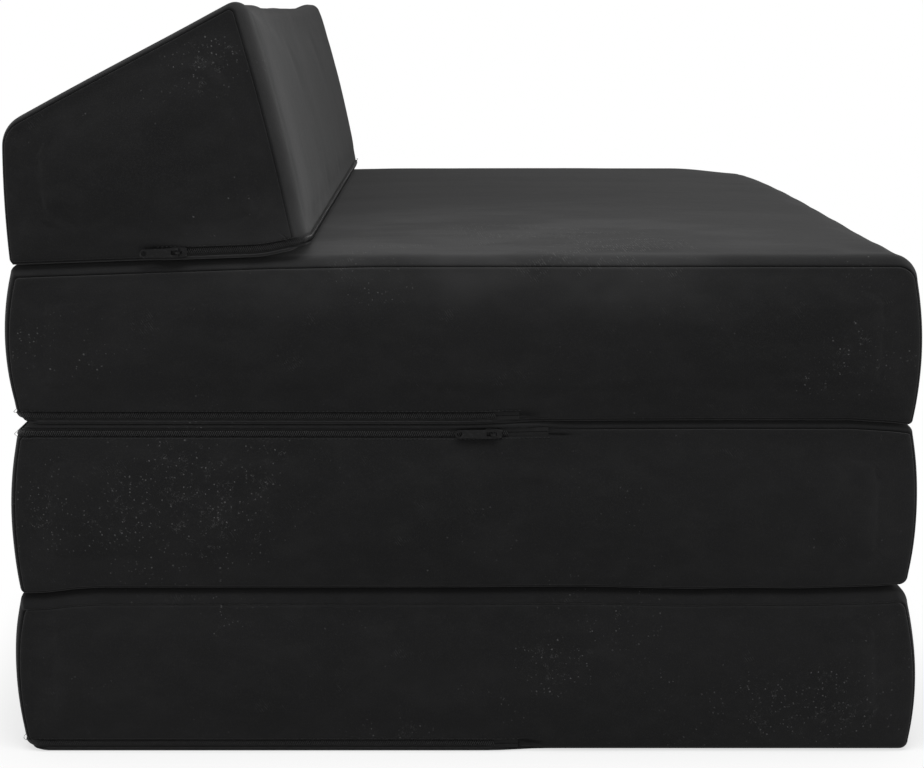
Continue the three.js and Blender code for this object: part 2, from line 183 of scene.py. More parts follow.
def cut_foam():
    made, place = new_material("cut_foam")
    cells = place.node("ShaderNodeTexVoronoi", {"Vector": place, "Scale": 900},
                       feature="DISTANCE_TO_EDGE")
    colour = place.mix(place.noise(7, 3), (0.83, 0.79, 0.62, 1), (0.76, 0.68, 0.46, 1))
    # Painted shade: darker where the cells' edges lie low
    colour = place.mix(1 - cells.band(0, 0.25), colour, (0.55, 0.48, 0.3, 1))
    place.surface({
        "Base Color": colour, "Roughness": 0.95, "Normal": place.bump(cells, 0.0004, 0.5),
    })
    return made


FOAM = cut_foam()


# Base block's cover
# A strip of microfibre runs round the front, top, back and underside, and a panel is sewn into
# each side. The foam fills it tightly: the panels crown, the front swells, and the seams sink
# in between two rolled edges. Its zip lies in a slot along the bottom, round the back.

HALF_WIDTH = 0.395  # to the plane that a side panel is sewn in
HALF_LENGTH = 0.325  # of a block, to the planes of its band at the back and front
FURTHEST = 0.3302  # how far a cover may swell beside a hinge
BLOCK_HEIGHT = 0.1225
BLOCK_GAP = 0.0003
MIDDLE_BOTTOM = BLOCK_HEIGHT + BLOCK_GAP
SEAT_BOTTOM = 2 * MIDDLE_BOTTOM
SEAT_TOP = SEAT_BOTTOM + BLOCK_HEIGHT
LOW_JOIN, HIGH_JOIN = MIDDLE_BOTTOM - BLOCK_GAP / 2, SEAT_BOTTOM - BLOCK_GAP / 2
# How the band rolls over to a side panel along a face: how far over the edge the seam lies, the
# roll's radius, and the angle it has turned through where it meets the panel
TIGHT_ROLL = (0.0064, 0.009, math.pi / 2)
BACK_ROLL = (0.0092, 0.0102, math.pi / 2)
CORNER_SHARES = [k / 8 for k in range(9)]
BACK_ZIP_SHARES = [0, 0.2, 0.26, 0.3, 0.43, 0.57, 0.61, 0.68, 1]
CORNER_MIDDLE = 4  # the number of a corner's middle share in both lists
FACE_STEPS = (46, 14)
STATIONS = 36
EDGE_REACH = 0.032  # from a side panel's plane to the first plain ring of the band
SHARPEST = 0.0012  # the least radius of a fold of the fabric
PANEL_START = 0.0103  # how far in from the band's faces a side panel starts to stand out
PANEL_SWELL = 0.005


class Section:
    """A cover's cross-section: four corners from the lower back one, each with x, z, its radius
    and the swell of the face that follows it"""

    def __init__(self, corners, steps, shares, depth):
        self.corners = np.array(corners, float)
        self.steps = steps
        self.shares = shares
        self.depth = depth
        ends = np.roll(self.corners[:, :2], -1, 0) - self.corners[:, :2]
        self.out = np.stack([ends[:, 1], -ends[:, 0]], 1) / np.hypot(*ends.T)[:, None]
        places = []
        for i in range(4):
            places += [(i, share) for share in shares[i]]
            places += [(i, 1 + k / steps[i % 2]) for k in range(1, steps[i % 2])]
        self.number, self.past = np.array(places).T
        self.number = self.number.astype(int)
        self.count = len(places)

    def on_arc(self, i, share, before, after):
        """A point of a corner's arc, from the insets of the faces before and after it"""
        x, z, radius, _ = self.corners[i]
        first, second = self.out[i - 1], self.out[i]
        inset = (before + after) / 2
        left = np.maximum(radius - inset, SHARPEST + 0.25 * inset)
        lean = first @ second
        pull = [(near - far * lean)[:, None] / (1 - lean ** 2)
                for near, far in ((before + left, after + left), (after + left, before + left))]
        turn = math.atan2(first[0] * second[1] - first[1] * second[0], lean)
        angle = math.atan2(first[1], first[0]) + turn * share
        return (np.array([x, z]) - pull[0] * first - pull[1] * second
                + left[:, None] * [[math.cos(angle), math.sin(angle)]])

    def rings(self, insets):
        """Points round the section as rows of x and z. Each row of insets has, for each point,
        how far in it lies from the face before its own, from its own and from the one after."""
        points = []
        for at, (i, past) in enumerate(zip(self.number, self.past)):
            before, here, after = insets[:, at].T
            if past <= 1:
                points.append(self.on_arc(i, past, before, here))
                continue
            share = past - 1
            crowding = 0.6
            share -= crowding * math.sin(2 * math.pi * share) / (2 * math.pi)
            start = self.on_arc(i, 1, before, here)
            end = self.on_arc((i + 1) % 4, 0, here, after)
            fade = np.clip(1 - here / self.depth, 0, 1)[:, None]
            swell = self.corners[i, 3] * (1 - (2 * share - 1) ** 2) * fade * self.out[i]
            points.append(start + (end - start) * share + swell)
        return np.stack(points, 1)

    def inwards(self, x, z):
        """How far in from each face a point lies"""
        return [-((x - c[0]) * n[0] + (z - c[1]) * n[1]) for c, n in zip(self.corners, self.out)]

    def bulge(self, x, z):
        """How far a side panel stands out at a point"""
        soft = 0.007
        parts = [np.exp(-np.clip(depth, 0, 1) / soft) for depth in self.inwards(x, z)]
        inside = -soft * np.log(sum(parts))
        share = np.clip((inside - PANEL_START) / (self.depth - PANEL_START), 0, 1)
        return PANEL_SWELL * (1 - (1 - share) ** 2)

    def slot_shares(self, face, low, high, corner, follows):
        """How much of the edge is a zip's slot: all of it between two x along a face, fading out
        round the corner where the zip leaves the side. Follows says that the face comes after
        that corner, not before it."""
        x = self.rings(np.zeros((1, self.count, 3)))[0][:, 0]
        fade = 0.004
        share = smooth(x, low - fade, low + fade) * (1 - smooth(x, high - fade, high + fade))
        share = np.where((self.number == face) & (self.past > 1), share, 0)
        fade = smooth(self.past, 0.35, 0.8) if follows else 1 - smooth(self.past, 0.2, 0.65)
        return np.where((self.number == corner) & (self.past <= 1), fade, share)


def round_edge(along, proud, radius, most):
    """Where a point of the rounded edge lies: its inset from the band's face and its distance
    out of the panel's plane"""
    turn = np.clip(along / radius, 0, most)
    past = np.maximum(along - radius * most, 0)
    inset = radius * (1 - np.cos(turn)) + past - proud * np.cos(turn)
    out = radius * (np.sin(turn) - np.sin(most)) + np.minimum(along, 0) + proud * np.sin(turn)
    return inset, out


# Rows over an edge with a seam. A row lies this share of the seam's place past the face's start,
# then this much further, and stands this far proud.
SEAM_ROWS = (
    (0, -0.006, 0), (0, 0, 0), (0.5, -0.0015, 0), (1, -0.0028, 0.0001), (1, -0.0011, 0.0002),
    (1, -0.0004, -0.0006), (1, 0, -0.0019), (1, 0.0004, -0.0005), (1, 0.0011, 0.0007),
    (1, 0.003, 0.0002),
)
SEAM_ROW = 6  # the number of the one that lies in the seam
PANEL_INSETS = (0.0115, 0.015, 0.019, 0.025)
PANEL_STEP = 0.003  # at least this far lies between one row of the panel and the next
# Rows over an edge with a zip: each one's inset and its distance out of the panel's plane
SLOT_ROWS = np.array([
    (0, -0.015), (0, -0.007), (0.0001, -0.0035), (0.0004, -0.0016), (0.001, -0.0007),
    (0.0021, -0.0003), (0.0027, -0.0008), (0.003, -0.0026), (0.0089, -0.0026),
    (0.0092, -0.0004), (0.0099, 0.0004), (0.0125, 0.0003), (0.017, 0), (0.024, 0),
])


def edge_rows(section, rolls, steps, deep=0):
    """Rows over a form's edge, each an inset and a distance out for every point. Each face's
    roll has the seam's place as its first value, and the steps are given as in SEAM_ROWS."""
    insets, outs = [], []
    for turn in (-1, 0, 1):
        seams, radius, most = np.array(rolls)[(section.number + turn) % 4].T
        rows = [round_edge(share * seams + past, proud + deep, radius, most)
                for share, past, proud in steps]
        inset, out = np.array(rows).swapaxes(0, 1)
        insets.append(inset)
        outs.append(out)
    share = smooth(section.past, 0, 1)
    out = outs[0] * (1 - share) + outs[1] * share
    return np.stack(insets, 2), out


def sewn_rows(section, rolls, slots):
    """The rows over a cover's edge, with a seam, and with the zip's slot in its place"""
    insets, out = edge_rows(section, rolls, SEAM_ROWS)
    last, flat = insets[-1], 0 * out[:1]
    panel = [np.maximum(inset, last + PANEL_STEP * (k + 1))
             for k, inset in enumerate(PANEL_INSETS)]
    insets, out = np.concatenate([insets, panel]), np.concatenate([out] + [flat] * len(panel))
    insets += (SLOT_ROWS[:, :1, None] - insets) * slots[:, None]
    out += (SLOT_ROWS[:, 1:] - out) * slots
    return insets, out


def closed_form(name, section, insets, edge_out):
    """A closed form: rings over the near edge, across the band and over the far edge, and a
    grid of faces in the middle of each panel. Its panel attribute says which faces are panels:
    -1 near, 1 far, 0 the band."""
    count = section.count
    around = section.rings(insets)
    x, z = around[..., 0], around[..., 1]
    out = HALF_WIDTH + edge_out + section.bulge(x, z)
    near, far = np.stack([x, -out, z], 2)[::-1], np.stack([x, out, z], 2)
    flat = section.rings(insets[:1])[0]
    middle = [
        np.stack([flat[:, 0], np.full(count, y), flat[:, 1]], 1)
        for y in np.linspace(-1, 1, STATIONS + 1) * (HALF_WIDTH - EDGE_REACH)
    ]
    rings = np.concatenate([near, middle, far])
    last = len(rings) - 1
    seam = len(insets) - 1 - SEAM_ROW
    points = rings.reshape(-1, 3).tolist()
    faces, panels = [], []
    for r in range(last):
        for i in range(count):
            j = (i + 1) % count
            faces.append((r * count + i, (r + 1) * count + i, (r + 1) * count + j, r * count + j))
            panels.append(-1 if r < seam else 1 if r >= last - seam else 0)
    starts = [int(np.flatnonzero((section.number == i) & (section.past <= 1))[CORNER_MIDDLE])
              for i in range(4)]
    sides = [[(starts[i] + k) % count
              for k in range((starts[(i + 1) % 4] - starts[i]) % count + 1)] for i in range(4)]
    low, right, top, left = sides[0], sides[1], sides[2][::-1], sides[3][::-1]
    n, m = len(low) - 1, len(right) - 1
    s, t = np.arange(n + 1)[:, None, None] / n, np.arange(m + 1)[:, None] / m
    for row, side in ((0, -1), (last, 1)):
        rim = rings[row]
        grid = (
            (1 - t) * rim[low][:, None] + t * rim[top][:, None]
            + (1 - s) * rim[left] + s * rim[right]
            - (1 - t) * ((1 - s) * rim[low[0]] + s * rim[low[n]])
            - t * ((1 - s) * rim[top[0]] + s * rim[top[n]])
        )[1:-1, 1:-1].reshape(-1, 3)
        grid[:, 1] = side * (HALF_WIDTH + edge_out[-1].max() + section.bulge(*grid[:, ::2].T))
        number = np.zeros((n + 1, m + 1), int)
        number[:, 0], number[:, m], number[0], number[n] = low, top, left, right
        number += row * count
        number[1:-1, 1:-1] = len(points) + np.arange(len(grid)).reshape(n - 1, m - 1)
        points += grid.tolist()
        quads = np.stack([number[:-1, :-1], number[1:, :-1], number[1:, 1:], number[:-1, 1:]], 2)
        faces += quads.reshape(-1, 4)[:, ::-side].tolist()
        panels += [side] * (n * m)
    mesh = bpy.data.meshes.new(name)
    mesh.from_pydata(points, [], faces)
    mesh.attributes.new("panel", "INT", "FACE").data.foreach_set("value", panels)
    return placed(name, mesh)


# Rows over the foam's edge, and how far it lies under the fabric and further behind a zip
FOAM_ROWS = [(0, past, 0)
             for past in (-0.006, 0, 0.004, 0.008, 0.012, 0.016, 0.021, 0.027, 0.034)]
FOAM_SPACE, FOAM_ZIP_SPACE = 0.0024, 0.0026
FOAM_ROUNDING = 0.004


def foam_core(name, section, rolls, slots, settles):
    """The foam that fills a cover: the same form, a little smaller and cut plainly at the seams"""
    cut = Section(section.corners + [0, 0, FOAM_ROUNDING, 0], section.steps, section.shares,
                  section.depth)
    deep = -FOAM_SPACE - FOAM_ZIP_SPACE * slots
    core = closed_form(f"{name}_foam_core", cut, *edge_rows(cut, rolls, FOAM_ROWS, deep))
    set_points(core.data, settles(get_points(core.data)))
    core.data.attributes.remove(core.data.attributes["panel"])
    core.data.shade_smooth()
    core.data.materials.append(FOAM)
    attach(core, name)
    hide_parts(f"{name}_foam")


WAVE_LENGTHS = (0.34, 0.21, 0.13, 0.08)
WAVE_HEIGHT = 0.0009 / 5  # of each of the longest ones


def waves(points, seed):
    """A low, uneven waviness, the same each run for the same seed"""
    rng = np.random.default_rng(seed)
    total = np.zeros(len(points))
    for length in WAVE_LENGTHS:
        height = WAVE_HEIGHT * (length / WAVE_LENGTHS[0]) ** 0.7
        for _ in range(3):
            way = rng.normal(size=3)
            way /= np.linalg.norm(way)
            phase = rng.uniform(0, 2 * math.pi)
            total += height * np.sin(2 * math.pi * (points @ way) / length + phase)
    return total


# The lines between the base and the middle block and between that and the seat, as they rise and
# sink along the near side: x and height above the line's level
LOW_LINE = ((-0.325, -0.0045), (-0.305, -0.004), (-0.285, -0.0015), (-0.265, -0.0002), (0, 0),
            (0.085, 0.0007), (0.164, -0.0012), (0.204, -0.0004), (0.244, -0.0008),
            (0.3, 0.0008), (0.325, 0.0025))
HIGH_LINE = ((-0.325, 0.0002), (0, -0.0002), (0.03, 0.0005), (0.0627, 0.0013), (0.18, 0.0018),
             (0.28, 0.0017), (0.31, -0.0002), (0.325, -0.002))


def line_shift(points, line, level):
    """How far the edges on a line between two blocks rise or sink with it. The far side's line
    moves a fifth as much and runs the other way."""
    x, y, z = points.T
    near = np.interp(x, *np.array(line).T) * smooth(-y, 0.33, 0.39)
    far = 0.2 * np.interp(-0.85 * x, *np.array(line).T) * smooth(y, 0.33, 0.39)
    return (near + far) * (1 - smooth(np.abs(z - level), 0.004, 0.042))


def free_faces(points, section, resting):
    """1 on the parts of a cover that nothing touches, and 0 where it rests on something and at
    its seams. Resting are the numbers of the faces that do."""
    x, y, z = points.T
    free = np.ones(len(points))
    aside = np.abs(y)
    for i, inwards in enumerate(section.inwards(x, z)):
        if i in resting:
            free *= smooth(inwards, 0.012, 0.03)
        side = smooth(aside, HALF_WIDTH - 0.005, HALF_WIDTH - 0.001)
        free *= 1 - side * (1 - smooth(inwards, 0.016, 0.032))
    return free * (1 - smooth(aside, 0.36, 0.378) * (1 - smooth(aside, 0.3945, 0.3955)))


CLOTH_FRAMES = 20
CLOTH_CAP = 0.0016  # how far the cloth may move


def swell(cover, free):
    """Lets air press the cover out from inside as cloth, held at its seams and where it rests,
    and keeps what it moves up to a cap"""
    start = get_points(cover.data)
    trial = placed("trial", cover.data.copy())
    held = trial.vertex_groups.new(name="held")
    for i, share in enumerate(free):
        held.add([i], float(1 - share), "REPLACE")
    cloth = trial.modifiers.new("cloth", "CLOTH")
    settings = cloth.settings
    settings.vertex_group_mass = "held"
    settings.use_pressure = True
    settings.uniform_pressure_force = 4
    settings.effector_weights.gravity = 0
    settings.mass = 0.3
    settings.quality = 4
    settings.bending_stiffness = 2
    settings.shrink_min = -0.012
    cloth.point_cache.frame_start, cloth.point_cache.frame_end = 1, CLOTH_FRAMES
    scene = bpy.context.scene
    for step in range(1, CLOTH_FRAMES + 1):
        scene.frame_set(step)
    graph = bpy.context.evaluated_depsgraph_get()
    moved = get_points(trial.evaluated_get(graph).data) - start
    bpy.data.objects.remove(trial)
    scene.frame_set(1)
    far = np.linalg.norm(moved, axis=1)
    kept = CLOTH_CAP * np.tanh(far / CLOTH_CAP) / np.maximum(far, 1e-9) * free
    set_points(cover.data, start + moved * kept[:, None])


CLEAR_DEPTH = 0.0011  # how far behind a zip's path the fabric lies


class Zip:
    """The path of a zip's middle: along one side, round two corners and back along the other.
    Way is -1 towards the back and 1 towards the front. Edge is 1 under a cover and -1 on top.
    Across, it lies inwards of the reach and leans, and fabric beyond it is tucked in so far."""

    def __init__(self, start, reach, way, edge, height, inwards, lean, turned=None, tuck=0):
        side, turn = 0.0015, 0.0085  # inside the panel's plane, and the corner's radius
        y, end = HALF_WIDTH - side, reach - way * inwards
        corner = end - way * turn
        steps = np.linspace(start, corner, int(abs(corner - start) / 0.006) + 2)
        near = [(x, -y, 0) for x in steps[:-1]]
        near += [(corner + way * turn * math.sin(a), -y + turn * (1 - math.cos(a)), a)
                 for a in np.linspace(0, math.pi / 2, 9)]
        across = [(end, v, math.pi / 2) for v in np.linspace(-y + turn, y - turn, 80)[1:-1]]
        far = [(x, -v, math.pi - angle) for x, v, angle in near[::-1]]
        x, y, angle = np.array(near + across + far).T
        lean = lean * smooth(np.sin(angle), 0, 1)
        level = np.stack([way * np.sin(angle), -np.cos(angle), 0 * angle], 1)
        upright = np.array([0, 0, edge])
        self.points = np.stack([x, y, np.full(len(x), height)], 1)
        self.away = level * np.cos(lean)[:, None] - upright * np.sin(lean)[:, None]
        self.up = level * np.sin(lean)[:, None] + upright * np.cos(lean)[:, None]
        self.tuck = tuck * smooth(np.sin(angle), 0.3, 1)
        if turned is not None:
            self.points = turned(self.points)
            tip = turned(np.zeros((1, 3)))
            self.away = turned(self.away) - tip
            self.up = turned(self.up) - tip

    def at(self, up, away):
        return self.points + self.up * up + self.away * away

    def clear(self, cover):
        """Presses a cover's fabric down behind the tapes, a batch of points at a time"""
        batch = 2000
        points = get_points(cover.data)
        close = np.flatnonzero(np.min(np.abs(points[:, 2:] - self.points[::40, 2]), 1) < 0.02)
        moved = points[close]
        for start in range(0, len(close), batch):
            part = moved[start:start + batch]
            gap = part[:, None] - self.points[None]
            nearest = np.argmin((gap ** 2).sum(2), 1)
            gap = gap[np.arange(len(part)), nearest]
            up, away = self.up[nearest], self.away[nearest]
            height, reach = (gap * up).sum(1), (gap * away).sum(1)
            along = np.linalg.norm(gap - up * height[:, None] - away * reach[:, None], axis=1)
            share = (1 - smooth(np.abs(height), 0.003, 0.0036)) * (along < 0.008)
            share = share * (reach > -0.009)
            down = np.minimum(-CLEAR_DEPTH - reach, 0) * share
            below = smooth(-height, 0.0024, 0.0032) * (1 - smooth(-height, 0.0072, 0.009))
            tuck = self.tuck[nearest] * below
            down = np.minimum(down, np.where(tuck > 0, np.minimum(-tuck - reach, 0), 0))
            moved[start:start + batch] = part + away * down[:, None]
        points[close] = moved
        set_points(cover.data, points)


def sewn_pieces(cover, name):
    """Splits a cover at its seams into its band and side panels, and gives them the fabric's
    thickness"""
    values = np.zeros(len(cover.data.polygons), np.int32)
    cover.data.attributes["panel"].data.foreach_get("value", values)
    for side, piece in ((0, "cover_band"), (-1, "side_panel_right"), (1, "side_panel_left")):
        shell = bmesh.new()
        shell.from_mesh(cover.data)
        shell.faces.ensure_lookup_table()
        away = [face for face in shell.faces if values[face.index] != side]
        bmesh.ops.delete(shell, geom=away, context="FACES")
        mesh = bpy.data.meshes.new(f"{name}_{piece}_fabric")
        shell.to_mesh(mesh)
        shell.free()
        mesh.attributes.remove(mesh.attributes["panel"])
        mesh.shade_smooth()
        mesh.materials.append(MICROFIBRE)
        made = placed(mesh.name, mesh)
        wall = made.modifiers.new("fabric", "SOLIDIFY")
        wall.thickness = 0.0009
        wall.offset = -1
        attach(made, name)
        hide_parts(f"{name}_{piece}")
    bpy.data.objects.remove(cover)


# Where lint has gathered on the near side: x and z, how far it spreads and how thickly
LINT_PLACES = (
    (-0.178, 0.505, 0.065, 0.19), (-0.15, 0.42, 0.04, 0.1), (-0.225, 0.185, 0.17, 0.19),
    (-0.29, 0.3, 0.1, 0.13), (0.285, 0.285, 0.085, 0.16), (0, 0.157, 0.05, 0.13),
    (-0.052, 0.023, 0.06, 0.15), (0.067, 0.067, 0.05, 0.15), (0.262, 0.045, 0.11, 0.16),
    (-0.06, 0.35, 0.06, 0.16), (-0.17, 0.1, 0.05, 0.1),
)
# Where the seat's nap is worn to the weave: x, y and how far
WORN_PLACES = ((0.105, -0.345, 0.12), (0.04, -0.27, 0.11), (-0.07, -0.355, 0.08))
WORN_LEVEL = 0.37
# Scales of the wave textures: threads of the weave 1.9 mm apart, and ribs of the tapes 0.9 mm
WEAVE_SCALE = 0.31416 / 0.0019
RIB_SCALE = 0.31831 / 0.0009


def microfibre():
    """Black brushed microfibre: a soft nap over a fine weave, with lint caught in it, painted
    light on the near part of the seat and the backrest's front, and painted highlights on the worn
    weave
    """
    made, place = new_material("black_microfibre")
    streaks = place.stretched(1, 2.6, 2.2).noise(5, 3, 0.6)
    mottling = place.stretched(1, 1.6, 1.6).noise(38, 3, 0.6)
    fibres = place.noise(1300, 2, 0.6)

    def closeness(scale, where, reach):
        """1 at a place and 0 at its reach, in the space drawn out by the scale"""
        where = tuple(a * b for a, b in zip(scale, where))
        gap = place.node("ShaderNodeVectorMath", {0: place.stretched(*scale), 1: where}, "Value",
                         operation="DISTANCE")
        return 1 - gap.band(0.15 * reach, reach)

    base = place.mix(streaks.band(0.3, 0.7), (0.0093, 0.0094, 0.0097, 1), grey(0.0119, 0.0123))
    base = place.mix(mottling.band(0.4, 0.75) * 0.35, base, grey(0.018, 0.0183))
    base = place.mix(fibres.band(0.45, 0.75) * 0.5, base, grey(0.023))

    # Where the seat is sat on and the backrest leaned on, paler colour is painted light, for the
    # brighter light on the near part of the seat and of the backrest's front; its streaks are the
    # brushed nap
    across = place.stretched(0.7, 1.5, 1).noise(12, 3, 0.6).band(0.38, 0.64)
    brushed_nap_and_painted_light = closeness((0.62, 0.75, 4), (0.02, -0.31, 0.371), 0.25) * (0.35 + across * 0.65)
    brushed_nap_and_painted_light = brushed_nap_and_painted_light + closeness((1, 2.2, 0.7), (-0.12, -0.325, 0.44), 0.13) * 0.4
    base = place.mix(brushed_nap_and_painted_light, base, grey(0.033, 0.0335))

    # The weave shows through where the nap is worn, and its threads are painted paler, a painted
    # highlight of the light that grazes the raised threads
    sockets = {"Vector": place.stretched(2, 0.1, 1.4), "Scale": WEAVE_SCALE, "Distortion": 1,
               "Detail": 1}
    warp = place.node("ShaderNodeTexWave", sockets, bands_direction="DIAGONAL")
    first, *others = [closeness((1, 1, 2), (x, y, WORN_LEVEL), reach)
                      for x, y, reach in WORN_PLACES]
    thin = sum(others, first)
    worn = place.stretched(1, 1.4, 1.4).noise(26, 4, 0.7) + thin * 0.16 - 0.03
    broken = place.stretched(1, 0.45, 1).noise(380, 2, 0.6).band(0.46, 0.6)
    weave = warp.band(0.4, 0.8) * broken * worn.band(0.57, 0.7)

    ruffled = place.node("ShaderNodeTexNoise", {"Vector": place, "Scale": 1500}, "Color")
    sockets = {0: ruffled, 1: (0.0014, 0.0014, 0.0014), 2: place}
    ruffled = place.node("ShaderNodeVectorMath", sockets, operation="MULTIPLY_ADD")

    def specks(scale, size, rare, cluster):
        cells = {"Vector": ruffled, "Scale": scale}
        near = place.node("ShaderNodeTexVoronoi", cells, "Distance")
        chance = place.node("ShaderNodeTexVoronoi", cells, "Color")
        chance = place.node("ShaderNodeSeparateColor", {"Color": chance}, "Red")
        return (1 - near.band(size * 0.45, size)) * chance.band(rare, rare + 0.3) * cluster

    cluster = place.noise(26, 4, 0.7) * 0.55 + place.noise(7, 2, 0.5) * 0.35
    for x, z, reach, thickly in LINT_PLACES:
        cluster = cluster + closeness((1, 1, 1.7), (x, -HALF_WIDTH, z), reach) * thickly
    curls = place.noise(420, 2, 0.55) - 0.5
    curls = (1 - place.math("ABSOLUTE", curls).band(0.006, 0.03)) \
        * place.noise(170, 2, 0.6).band(0.54, 0.62) * cluster.band(0.54, 0.68)
    lint = place.math(
        "MAXIMUM",
        specks(200, 0.16, 0.45, cluster.band(0.46, 0.58)),
        specks(330, 0.22, 0.4, cluster.band(0.49, 0.62)),
    )
    lint = place.math("MAXIMUM", lint, curls * 0.6)
    # Painted highlight: the worn weave's threads are painted paler
    base = place.mix(weave * (0.2 + thin * 0.55), base, grey(0.075))
    base = place.mix(lint * 0.8, base, grey(0.095))
    height = fibres * 0.5 + mottling * 1.6 + streaks * 5 + lint * 0.8 + weave * (0.8 + thin)
    place.surface({
        "Base Color": base, "Roughness": 0.9, "Specular IOR Level": 0,
        "Sheen Weight": 0.13, "Sheen Roughness": 0.54,
        "Normal": place.bump(height, 0.00035, 0.6),
    })
    return made


MICROFIBRE = microfibre()
ZIP_RISE = 0.006  # from a cover's bottom, or down from its top


def base_settles(points, joins=((LOW_LINE, LOW_JOIN),)):
    """Edges follow the lines at the joins between the blocks."""
    moved = points.copy()
    for join in joins:
        moved[:, 2] += line_shift(points, *join)
    return moved


def filled_cover(name, section, rolls, slots, resting, settles, zip_path, seed, ways):
    """Makes a cover and its foam: swells, waves and settles it, clears its zip and splits it
    into its sewn pieces. Towards the ways it swells no further than FURTHEST."""
    foam_core(name, section, rolls, slots, settles)
    cover = closed_form(f"{name}_cover", section, *sewn_rows(section, rolls, slots))
    swell(cover, free_faces(get_points(cover.data), section, resting))
    finer = cover.modifiers.new("finer", "SUBSURF")
    finer.levels = finer.render_levels = 1
    settle_modifiers(cover)
    points = get_points(cover.data)
    free = free_faces(points, section, resting)
    points = points + get_points(cover.data, "normal") * (waves(points, seed) * free)[:, None]
    give = 0.0006
    for way in ways:
        past = way * points[:, 0] - (FURTHEST - give)
        past = np.where(past > 0, give * np.tanh(np.maximum(past, 0) / give), past)
        points[:, 0] = way * (past + FURTHEST - give)
    set_points(cover.data, points)
    zip_path.clear(cover)
    set_points(cover.data, settles(get_points(cover.data)))
    sewn_pieces(cover, name)


def block_cover(name, bottom, radii, swells, top_roll, zip_start, edge, resting, settles, seed,
                ways, lip=0, dip=0):
    """A block's filled cover, with its zip along the bottom where edge is 1 and the top where it
    is -1. The lip is the lower front corner's and the dip the upper back one's. Gives the zip."""
    top = bottom + BLOCK_HEIGHT
    x = (-HALF_LENGTH, HALF_LENGTH + lip, HALF_LENGTH, -HALF_LENGTH)
    corners = np.stack([x, (bottom, bottom, top, top - dip), radii, swells], 1)
    shares = [BACK_ZIP_SHARES] + [CORNER_SHARES] * 3
    if edge < 0:
        shares = [[1 - share for share in row[::-1]] for row in shares[::-1]]
    section = Section(corners, FACE_STEPS, shares, (BLOCK_HEIGHT - dip) / 2)
    height = (bottom if edge > 0 else top) + edge * ZIP_RISE
    path = Zip(zip_start, -HALF_LENGTH, -1, edge, height, 0.0035, math.radians(38))
    rolls = [TIGHT_ROLL, TIGHT_ROLL, (*top_roll, math.pi / 2), BACK_ROLL]
    corner = 0 if edge > 0 else 3
    slots = section.slot_shares(1 - edge, -0.34, zip_start, corner, edge > 0)
    filled_cover(name, section, rolls, slots, resting, settles, path, seed, ways)
    return path


base_zip = block_cover("base", 0, (0.016, 0.007, 0.014, 0.005), (0, 0.0057, 0, 0.005),
                       (0.017, 0.011), 0.04, 1, (0, 2), base_settles, 11, [-1], lip=0.0042)


# Middle block's cover
# The same cover upside down, with its zip along the top. It hinges on the base at its lower
# back edge and carries the seat at its upper front one, so both swell no more than the hinges
# leave room for.

def middle_settles(points):
    return base_settles(points, ((LOW_LINE, LOW_JOIN), (HIGH_LINE, HIGH_JOIN)))


middle_zip = block_cover("middle", MIDDLE_BOTTOM, (0.005, 0.007, 0.005, 0.016),
                         (0, 0.005, 0, 0.005), (0.0092, 0.009), 0.061, -1, (0, 2),
                         middle_settles, 23, [-1, 1])


# Seat block's cover
# Its top is level and crowned in front of the backrest and dips under it, and the far front
# corner sags. The seam along its top edge lies low on the side, under a wide rolled edge.

DIP = 0.008  # of the seat's back edge
DIP_START = -0.104  # where it starts, and how long it is
DIP_LENGTH = DIP_START + HALF_LENGTH


def seat_settles(points):
    """The top rises from its straight line to the level and the crown, the upper front edge
    bows out across the width, and the bottom edges follow the line over the middle block."""
    x, y, z = points.T
    line = SEAT_TOP - DIP * (HALF_LENGTH - x) / (2 * HALF_LENGTH)
    level = SEAT_TOP - DIP * np.clip(DIP_START - x, 0, DIP_LENGTH) / DIP_LENGTH
    level -= 0.0007 * np.exp(-((x - DIP_START) / 0.025) ** 2)
    share = np.clip((x - DIP_START) / 0.411, 0, 1)
    across = np.clip(1 - (y / 0.3735) ** 4, 0, 1)
    crown = 0.003 * (1 - (2 * share - 1) ** 2) * across
    sag = 0.0066 * smooth(x, 0.235, HALF_LENGTH) * smooth(y, 0.22, HALF_WIDTH)
    moved = points.copy()
    rise = np.where(x < HALF_LENGTH, level - line, 0) + crown - sag
    moved[:, 2] += rise * smooth(z, 0.3, 0.36)
    moved[:, 2] += line_shift(points, HIGH_LINE, HIGH_JOIN)
    bow = 0.003 * (1 - (y / HALF_WIDTH) ** 2)
    moved[:, 0] += bow * smooth(x, 0.3, HALF_LENGTH) * smooth(z, 0.33, 0.36)
    return moved


seat_zip = block_cover("seat", SEAT_BOTTOM, (0.016, 0.005, 0.018, 0.005), (0, 0.005, 0, 0.0058),
                       (0.0145, 0.012), 0.04, 1, (0,), seat_settles, 37, [1], dip=DIP)


# Backrest's cover
# A wedge that leans back on the dip in the seat. The ends of its peak stand up where the seams
# pull the foam together, and the lower front corner of the near side has lifted off the seat.

HINGE = np.array([-0.326499, 0.36025])
TILT = math.radians(2.0732)
# In the backrest's own frame: its back and underside, and the places of its front, its peak and
# the start of its zip
BACK, UNDERSIDE = 0.0015, BLOCK_GAP / 2
FRONT, PEAK, ZIP_START = 0.2165, (0.1785, 0.18415), 0.1095
FRONT_ZIP_SHARES = [0, 0.2, 0.27, 0.34, 0.59, 0.78, 0.84, 0.9, 1]


def from_hinge(x, z):
    return (HINGE[0] + x * math.cos(TILT) - z * math.sin(TILT),
            HINGE[1] + x * math.sin(TILT) + z * math.cos(TILT))


def on_backrest(points):
    """Points given from the backrest's hinge line, in its own tilted frame"""
    x, z = from_hinge(points[:, 0], points[:, 2])
    return np.stack([x, points[:, 1], z], 1)


